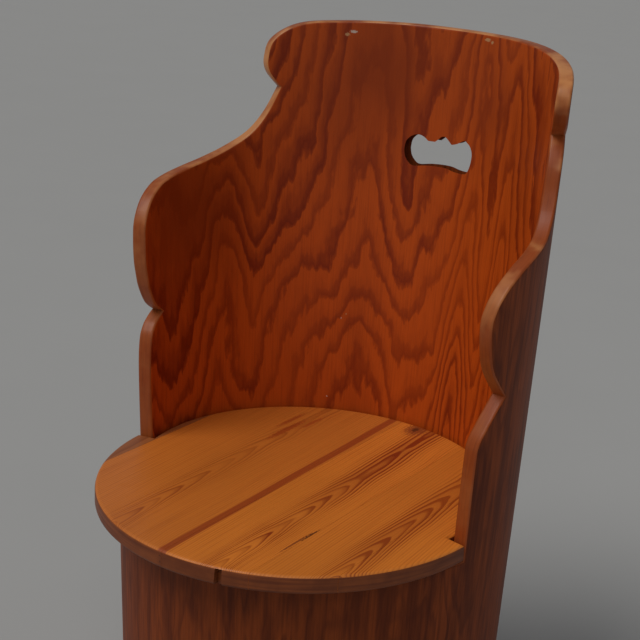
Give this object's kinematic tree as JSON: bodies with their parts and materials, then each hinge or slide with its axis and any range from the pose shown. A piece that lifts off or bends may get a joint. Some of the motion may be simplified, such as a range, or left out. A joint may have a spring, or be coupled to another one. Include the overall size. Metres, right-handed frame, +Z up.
{
  "type": "potty training chair",
  "caption": "Child's bent-wood barrel potty chair with scrolled arms, a high back with a hand hole, a lift-off board lid and a lift-out pot.",
  "frame": {"origin": "on the floor, at the middle of the chair's plan", "axes": "+Z up, the sitter faces -Y, +X is to the right of someone who looks at the chair from the front"},
  "size_m": [0.3233, 0.3366, 0.5636],
  "materials": {
    "pine_wall": "satin varnished rotary-cut pine plywood",
    "pine_lid": "satin varnished solid pine boards",
    "pine_inside": "bare sanded pine",
    "zinc_steel": "zinc plated",
    "white_enamel": "gloss white enamel",
    "dark_nylon": "moulded nylon"
  },
  "bodies": {
    "chair": {"barrel_shell": "pine_wall", "pot_board": "pine_inside", "cleat_front_left": "pine_inside", "cleat_front_right": "pine_inside", "cleat_rear_left": "pine_inside", "cleat_rear_right": "pine_inside", "cleat_screw_front_left_1": "zinc_steel", "cleat_screw_front_left_2": "zinc_steel", "cleat_screw_front_right_1": "zinc_steel", "cleat_screw_front_right_2": "zinc_steel", "cleat_screw_rear_left_1": "zinc_steel", "cleat_screw_rear_left_2": "zinc_steel", "cleat_screw_rear_right_1": "zinc_steel", "cleat_screw_rear_right_2": "zinc_steel", "board_screw_front_left": "zinc_steel", "board_screw_front_right": "zinc_steel", "board_screw_rear_left": "zinc_steel", "board_screw_rear_right": "zinc_steel", "lid_ledge_left": "pine_inside", "lid_ledge_rear": "pine_inside", "lid_ledge_right": "pine_inside", "glide_front_left": "dark_nylon", "glide_front_right": "dark_nylon", "glide_rear_left": "dark_nylon", "glide_rear_right": "dark_nylon"},
    "lid": {"lid_board_1": "pine_lid", "lid_board_2": "pine_lid", "lid_board_3": "pine_lid", "lid_board_4": "pine_lid", "lid_board_5": "pine_lid", "lid_board_6": "pine_lid", "lid_batten_front": "pine_inside", "lid_batten_rear": "pine_inside", "batten_screw_front_1": "zinc_steel", "batten_screw_front_2": "zinc_steel", "batten_screw_front_3": "zinc_steel", "batten_screw_front_4": "zinc_steel", "batten_screw_rear_1": "zinc_steel", "batten_screw_rear_2": "zinc_steel", "batten_screw_rear_3": "zinc_steel", "batten_screw_rear_4": "zinc_steel"},
    "pot": {"pot": "white_enamel"}
  },
  "joints": [
    {"name": "lid_lift", "type": "slide", "parent": "chair", "child": "lid", "axis": [0, -0.0558, 0.9984], "range_m": [0, 0.37]},
    {"name": "pot_lift", "type": "slide", "parent": "chair", "child": "pot", "axis": [0, 0, 1], "range_m": [0, 0.148]}
  ],
  "couplings": [
    {"joint": "pot_lift", "follows": "lid_lift", "ratio": 0.4}
  ]
}
